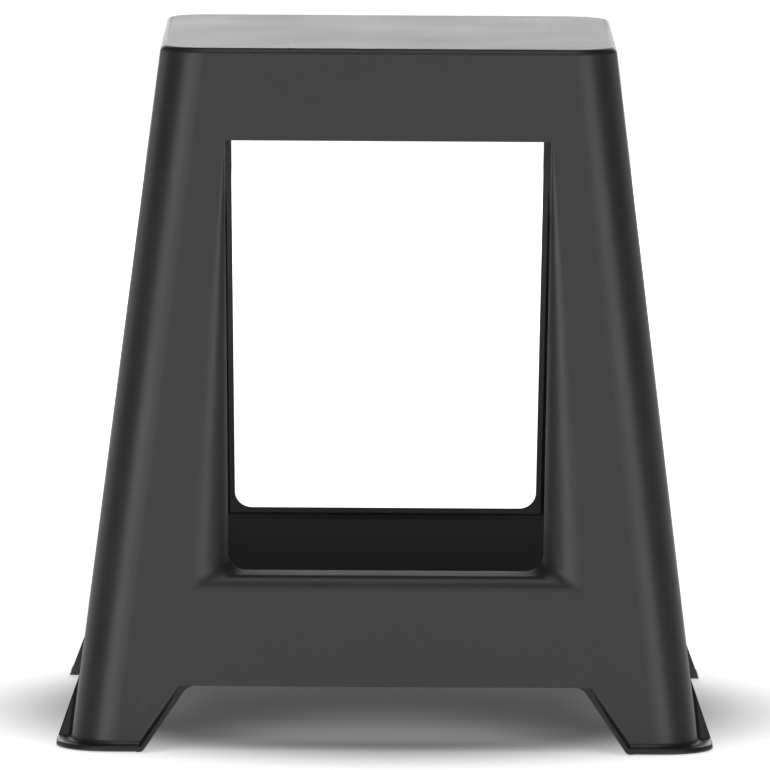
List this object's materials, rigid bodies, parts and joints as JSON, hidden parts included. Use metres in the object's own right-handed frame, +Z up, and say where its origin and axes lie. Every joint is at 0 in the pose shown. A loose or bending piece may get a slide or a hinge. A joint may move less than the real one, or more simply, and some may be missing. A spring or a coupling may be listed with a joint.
{
  "type": "moulded stool",
  "caption": "Square moulded-plastic stool with flared walls, a large window and a rail in each wall, and slanted feet with lips.",
  "frame": {"origin": "middle of the base at floor level", "axes": "+Z up to the seat; the front wall faces -Y; the four walls are alike"},
  "size_m": [0.4252, 0.4252, 0.45],
  "materials": {
    "body_plastic": "fine matte grain, injection moulded",
    "glide_rubber": "soft matte"
  },
  "bodies": {
    "root": {"stool_body": "body_plastic", "glide_front_left": "glide_rubber", "glide_front_right": "glide_rubber", "glide_rear_left": "glide_rubber", "glide_rear_right": "glide_rubber"}
  },
  "joints": []
}
